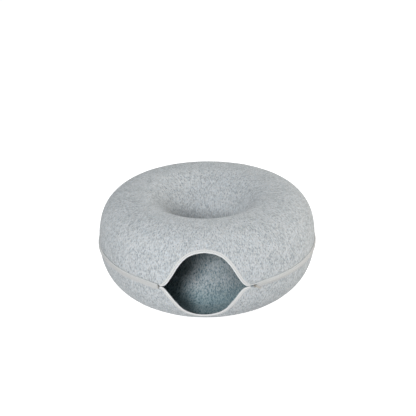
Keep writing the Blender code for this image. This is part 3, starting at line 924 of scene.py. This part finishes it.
# Painted highlight: the fold's cloth is whiter than the rest of the binding.
FOLD_WHITE_PAINTED_HIGHLIGHT = (0.665, 0.676, 0.678, 1.0)
FOLD_GAP_HIGHLIGHT_AND_SHADE = (0.505, 0.515, 0.515, 1.0)
weave = woven_cloth()
binding_cloth = tape_finish("binding cloth", OFF_WHITE, OFF_WHITE_GAP_SHADE, BINDING_WEAVE)
fold_cloth_painted_highlight = tape_finish("binding cloth with painted highlight", FOLD_WHITE_PAINTED_HIGHLIGHT, FOLD_GAP_HIGHLIGHT_AND_SHADE, BINDING_WEAVE)
seam_thread = twisted_thread("grey seam thread", (0.28, 0.285, 0.28, 1.0))
for name, half in halves.items():
    tape, seam = bind(name + "_binding", half)
    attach(tape, "root")
    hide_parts("mouth_binding_" + name)
    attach(seam, "root")


# The zip tape. A warm grey woven band covers the closed zip from the mouth's right corner round the
# back to its left corner. A rib runs along its top, and it is sewn down near its lower edge.

# The band's section, in millimetres: how far out from the wall, and how far up from the zip.
BAND_SECTION = (
    (0.30, 5.30),
    (0.75, 5.42),
    (1.35, 5.05),
    (1.95, 4.30),
    (2.20, 3.60),
    (2.05, 2.95),
    (1.72, 2.60),
    (2.15, 2.28),
    (2.65, 1.80),
    (2.95, 0.90),
    (3.05, -0.60),
    (3.05, -2.20),
    (2.95, -3.70),
    (2.70, -4.60),
    (2.30, -5.30),
    (1.70, -5.75),
    (1.30, -6.15),
    (1.38, -6.60),
    (1.30, -7.15),
    (1.00, -7.60),
    (0.50, -7.80),
    (0.22, -7.40),
    (0.22, -5.00),
    (0.22, -1.00),
    (0.22, 2.50),
)
BAND_COLUMNS = 450
BAND_RIGHT_END = 113.5 * MM
BAND_LEFT_END = 102.3 * MM
BAND_TURN_IN = 3 * MM  # over which it is pressed thinner and narrower towards its ends
BAND_BACK = 0.22  # out from the wall, in millimetres as in its section
BAND_MIDDLE = -2.0
BAND_END_THICKNESS = 0.45  # share that is left
BAND_FIRM_WIDTH = 0.75  # share that doesn't narrow
BAND_WANDER = 0.12  # up and down, in millimetres
BAND_WANDER_PITCH = 0.09  # of its swings, for each column
RIB_RIGHT_START = 99 * MM
RIB_COLUMNS = 12
RIB_ROWS = 6
RIB_FROM_WALL = (0.3, 2.9)  # where its back lies, where it runs on alone
RIB_OVERLAP = 0.5 * MM
BAND_SEAM = -6.15 * MM
BAND_SEAM_OUT = 1.5 * MM
BAND_STITCH_PITCH = 3 * MM
BAND_STITCH_LENGTH = 2.4 * MM
BAND_STITCH_WIDTH = 0.5 * MM
BAND_WEAVE = 0.5 * MM


def on_wall(across, radius, rise):
    """A frame on the wall: X along the zip, Y up and Z out."""
    angle = across / WALL_RADIUS
    out = Vector((math.sin(angle), -math.cos(angle), 0))
    spot = out * radius + RING_MIDDLE + Vector((0, 0, rise - sag(across)))
    return Matrix.Translation(spot) @ Matrix.Rotation(angle, 4, "Z") @ Matrix.Rotation(math.pi / 2, 4, "X")


def on_zip(section):
    """A section of the band, in metres from the ring's axis and the floor."""
    return [(WALL_RADIUS + out * MM, ZIP_PLANE + up * MM) for out, up in section]


start = BAND_RIGHT_END / WALL_RADIUS
end = math.tau - BAND_LEFT_END / WALL_RADIUS
band, places = spun_section("zip_band", on_zip(BAND_SECTION), start, end, BAND_COLUMNS, closed=True)
run = (end - start) * WALL_RADIUS
for vertex, (column, row) in zip(band.data.vertices, places):
    from_end = min(column, BAND_COLUMNS - column) * run / BAND_COLUMNS
    share = min(from_end / BAND_TURN_IN, 1.0)
    kept = BAND_END_THICKNESS + (1 - BAND_END_THICKNESS) * math.sqrt(share * (2 - share))
    out, up = BAND_SECTION[row]
    out = BAND_BACK + (out - BAND_BACK) * kept
    up = BAND_MIDDLE + (up - BAND_MIDDLE) * (BAND_FIRM_WIDTH + (1 - BAND_FIRM_WIDTH) * kept)
    up += BAND_WANDER * noise.noise(Vector((BAND_WANDER_PITCH * column, 0, 0)))
    angle = start + (end - start) * column / BAND_COLUMNS
    radius = WALL_RADIUS + out * MM
    rise = up * MM - sag(angle * WALL_RADIUS)
    vertex.co = RING_MIDDLE + Vector((radius * math.sin(angle), -radius * math.cos(angle), rise))
lay_flat(band, places, run, BAND_COLUMNS, BAND_SECTION)
bpy.ops.object.shade_smooth_by_angle(angle=TAPE_CREASE)
# Each cloth's second colour is painted shade between its threads.
zip_cloth = tape_finish("zip cloth", (0.495, 0.50, 0.498, 1.0), (0.37, 0.375, 0.372, 1.0), BAND_WEAVE)
rib_cloth = tape_finish("rib cloth", (0.535, 0.547, 0.55, 1.0), (0.41, 0.42, 0.42, 1.0), BAND_WEAVE)
band.data.materials.append(zip_cloth)
band.data.materials.append(rib_cloth)
for face in band.data.polygons:
    face.material_index = int(max(places[vertex][1] for vertex in face.vertices) <= RIB_ROWS)

frames = []
for i in range(1, round(run / BAND_STITCH_PITCH)):
    across = BAND_RIGHT_END + i * BAND_STITCH_PITCH
    matrix = on_wall(across, WALL_RADIUS + BAND_SEAM_OUT, BAND_SEAM)
    frames.append(standing(matrix.translation, matrix.col[0].xyz, matrix.col[2].xyz))
band_thread = twisted_thread("warm grey thread", (0.47, 0.473, 0.468, 1.0))
band_seam = sew("zip_band_stitches", frames, BAND_STITCH_LENGTH, BAND_STITCH_WIDTH, band_thread)
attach(band, "root")
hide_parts("zip_tape")
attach(band_seam, "root")

# The band's rib runs on over the slider to the end of the upper binding.
rib_section = BAND_SECTION[: RIB_ROWS + 1] + (RIB_FROM_WALL,)
start, end = RIB_RIGHT_START / WALL_RADIUS, (BAND_RIGHT_END + RIB_OVERLAP) / WALL_RADIUS
rib, places = spun_section("zip_rib", on_zip(rib_section), start, end, RIB_COLUMNS, closed=True)
for vertex in rib.data.vertices:
    vertex.co.z -= sag(math.atan2(vertex.co.x, AXIS_Y - vertex.co.y) * WALL_RADIUS)
lay_flat(rib, places, BAND_RIGHT_END - RIB_RIGHT_START, RIB_COLUMNS, rib_section)
bpy.ops.object.shade_smooth_by_angle(angle=TAPE_CREASE)
rib.data.materials.append(rib_cloth)
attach(rib, "root")


# The bar tack. Brown-grey thread wound up and down over the ends of the bindings holds them shut
# where the zip stops, at the mouth's left corner. Its dark thread is also painted shade, for the
# shadowed gap between the bindings' ends and the band.

TACK_ACROSS = -100.6 * MM
TACK_LOOPS = 10
TACK_PITCH = 0.85 * MM
TACK_LENGTH = 2.3 * MM
TACK_WIDTH = 0.9 * MM
TACK_SLANT = 0.25
TACK_OUT = 1.4 * MM
TACK_RISE = -1.6 * MM

frames = []
for i in range(TACK_LOOPS):
    rise = (i - (TACK_LOOPS - 1) / 2) * TACK_PITCH + TACK_RISE
    matrix = on_wall(TACK_ACROSS, WALL_RADIUS + TACK_OUT, rise)
    along = matrix.col[0].xyz + matrix.col[1].xyz * (TACK_SLANT if i % 2 else -TACK_SLANT)
    frames.append(standing(matrix.translation, along, matrix.col[2].xyz))
# Dark thread, partly painted shade in the gap.
tack_thread_painted_shade = twisted_thread("brown-grey thread", (0.24, 0.225, 0.20, 1.0))
tack = sew("bar_tack", frames, TACK_LENGTH, TACK_WIDTH, tack_thread_painted_shade)
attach(tack, "root")


# The slider. A cast body of two plates round a wedge, parked at the mouth's right corner, with a
# wire bridge on its outer plate. It is dull bronze, rubbed brighter on its edges.

SLIDER_ACROSS = 109.5 * MM
SLIDER_RISE = -0.5 * MM
SLIDER_FACE = WALL_RADIUS + 3.4 * MM
PLATE_LENGTH = 6.6 * MM
PLATE_HEIGHT = 5.4 * MM
PLATE_THICKNESS = 1.0 * MM
PLATE_GAP = 1.0 * MM
PLATE_TAPER = 0.22
PLATE_ROUNDING = 0.35 * MM
WEDGE_RADIUS = 1.1 * MM
WEDGE_ACROSS = SLIDER_ACROSS - 1.2 * MM
BRIDGE_RADIUS = 1.6 * MM
BRIDGE_WIRE = 0.45 * MM
BRIDGE_RISE = 0.6 * MM
BRIDGE_STRETCH = (1.25, 1.5, 1.0)
SCUFF_SIZE = 0.9 * MM
SCUFF_RELIEF = 0.05 * MM


def rubbed_edges():
    """The look of metal or enamel that is scuffed, and worn to another colour on its edges."""
    results = ("Height", "Roughness")
    group, given, result = new_group("rubbed edges", ("Colour", "Worn"), ("Roughness",), results)
    geometry = group.nodes.new("ShaderNodeNewGeometry")
    scuffs = lumps(group, given["Vector"], SCUFF_SIZE, detail=3.0)
    edges = calculate(group, "MULTIPLY", ramp(group, geometry.outputs["Pointiness"], 0.50, 0.60), scuffs)
    tone = calculate(group, "MULTIPLY_ADD", scuffs, 0.35, edges)
    rough = calculate(group, "ADD", ramp(group, scuffs, 0.3, 0.7, -0.1, 0.12), given["Roughness"])
    group.links.new(mix_colours(group, tone, given["Colour"], given["Worn"]), result["Colour"])
    group.links.new(scuffs, result["Height"])
    group.links.new(rough, result["Roughness"])
    return group


def rubbed_metal(name, colour, worn, roughness, metallic):
    """Metal or enamel, rougher and smoother where it is scuffed."""
    values = {"Colour": colour, "Worn": worn, "Roughness": roughness}
    return new_finish(name, {"Metallic": metallic}, rubbed, values, SCUFF_RELIEF)


def slider_plate(name, middle):
    """A plate with rounded ends and edges, narrower towards the closed zip."""
    plate = new_piece(name, bpy.ops.mesh.primitive_cylinder_add, vertices=24, radius=0.5, depth=1)
    bpy.ops.object.mode_set(mode="EDIT")
    bpy.ops.transform.resize(value=(PLATE_LENGTH, PLATE_HEIGHT, PLATE_THICKNESS))
    bpy.ops.object.mode_set(mode="OBJECT")
    for vertex in plate.data.vertices:
        vertex.co.y *= 1 - PLATE_TAPER * vertex.co.x / (PLATE_LENGTH / 2)
    round_edges(plate, PLATE_ROUNDING, 3)
    plate.data.transform(on_wall(SLIDER_ACROSS, middle, SLIDER_RISE))
    return plate


outer_plate = slider_plate("slider", SLIDER_FACE - PLATE_THICKNESS / 2)
inner_plate = slider_plate("inner_plate", SLIDER_FACE - PLATE_THICKNESS * 1.5 - PLATE_GAP)
wedge = new_piece(
    "wedge",
    bpy.ops.mesh.primitive_cylinder_add,
    vertices=16,
    radius=WEDGE_RADIUS,
    depth=PLATE_GAP + PLATE_THICKNESS,
)
between_plates = SLIDER_FACE - PLATE_THICKNESS - PLATE_GAP / 2
wedge.data.transform(on_wall(WEDGE_ACROSS, between_plates, SLIDER_RISE))
bridge = new_piece(
    "bridge",
    bpy.ops.mesh.primitive_torus_add,
    major_radius=BRIDGE_RADIUS,
    minor_radius=BRIDGE_WIRE,
    major_segments=28,
    minor_segments=12,
)
bpy.ops.object.mode_set(mode="EDIT")
bpy.ops.transform.rotate(value=math.pi / 2, orient_axis="X", center_override=(0, 0, 0))
bpy.ops.transform.resize(value=BRIDGE_STRETCH)
bpy.ops.object.mode_set(mode="OBJECT")
bridge.data.transform(on_wall(SLIDER_ACROSS - BRIDGE_RADIUS / 2, SLIDER_FACE + BRIDGE_RISE, SLIDER_RISE))
for part in (outer_plate, inner_plate, wedge):
    part.select_set(True)
bpy.context.view_layer.objects.active = outer_plate
bpy.ops.object.join()
slider = bpy.context.object
bpy.ops.object.shade_smooth_by_angle(angle=math.radians(40))
rubbed = rubbed_edges()
dull_bronze = rubbed_metal("dull bronze", (0.27, 0.26, 0.24, 1.0), (0.46, 0.445, 0.41, 1.0), 0.45, 0.8)
slider.data.materials.append(dull_bronze)
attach(slider, "root")
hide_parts("zip_slider")


# The puller. A flat tapered tab hangs by its eye from the bridge and lies back along the wall. It is
# enamelled a light warm grey within a bronze rim.

PULLER_WIDTH = 5.0 * MM
PULLER_LENGTH = 17 * MM
PULLER_THICKNESS = 0.8 * MM
PULLER_TIP_WIDTH = 3.8 * MM
PULLER_EYE = 1.0 * MM
PULLER_RIM = 0.45 * MM
PULLER_RIM_SLOPE = 0.2 * MM
PULLER_DISH = 0.18 * MM
PULLER_ROUNDING = 0.1 * MM
TIP_SQUARENESS = 1.6  # a round tip would have 1
PULLER_TURN = 55  # degrees from hanging straight down, towards the back
PULLER_LEAN = 3  # degrees out from the wall
REST_GAP = 0.35 * MM

round_tab = {"vertices": 32, "radius": PULLER_WIDTH / 2, "depth": PULLER_THICKNESS}
puller = new_piece("puller", bpy.ops.mesh.primitive_cylinder_add, **round_tab)
for vertex in puller.data.vertices:
    if vertex.co.y < -0.01 * MM:
        down = PULLER_LENGTH - PULLER_WIDTH
        vertex.co.x *= PULLER_TIP_WIDTH / PULLER_WIDTH
        vertex.co.y = max(vertex.co.y * TIP_SQUARENESS, -PULLER_WIDTH / 2) - down
bpy.ops.object.mode_set(mode="EDIT")
bpy.ops.mesh.select_all(action="DESELECT")
bpy.ops.object.mode_set(mode="OBJECT")
for face in puller.data.polygons:
    face.select = abs(face.normal.z) > 0.9
bpy.ops.object.mode_set(mode="EDIT")
bpy.ops.mesh.inset(thickness=PULLER_RIM)
bpy.ops.mesh.inset(thickness=PULLER_RIM_SLOPE, depth=-PULLER_DISH)
bpy.ops.object.mode_set(mode="OBJECT")
bronze = rubbed_metal("bronze rim", (0.25, 0.205, 0.15, 1.0), (0.50, 0.44, 0.34, 1.0), 0.45, 1.0)
enamel = rubbed_metal("warm grey enamel", (0.46, 0.45, 0.42, 1.0), (0.30, 0.27, 0.225, 1.0), 0.5, 0.0)
puller.data.materials.append(bronze)
puller.data.materials.append(enamel)
for face in puller.data.polygons:
    sunk = abs(face.center.z) < PULLER_THICKNESS / 2 - PULLER_DISH / 2
    face.material_index = int(abs(face.normal.z) > 0.9 and sunk)
through = {"vertices": 20, "radius": PULLER_EYE, "depth": 4 * PULLER_THICKNESS}
eye = new_piece("eye", bpy.ops.mesh.primitive_cylinder_add, **through)
eye.data.materials.append(bronze)
bpy.context.view_layer.objects.active = puller
pierced = puller.modifiers.new("Eye", "BOOLEAN")
pierced.operation = "DIFFERENCE"
pierced.object = eye
bpy.ops.object.modifier_apply(modifier=pierced.name)
bpy.data.objects.remove(eye)
round_edges(puller, PULLER_ROUNDING, 2)
hung = on_wall(SLIDER_ACROSS + BRIDGE_RADIUS / 2, SLIDER_FACE + REST_GAP + PULLER_THICKNESS / 2, SLIDER_RISE)
lean = Matrix.Rotation(math.radians(PULLER_LEAN), 4, "X")
puller.data.transform(hung @ lean @ Matrix.Rotation(math.radians(PULLER_TURN), 4, "Z"))
puller.select_set(True)
bpy.ops.object.shade_smooth_by_angle(angle=math.radians(35))
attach(puller, "root")
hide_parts("zip_puller")
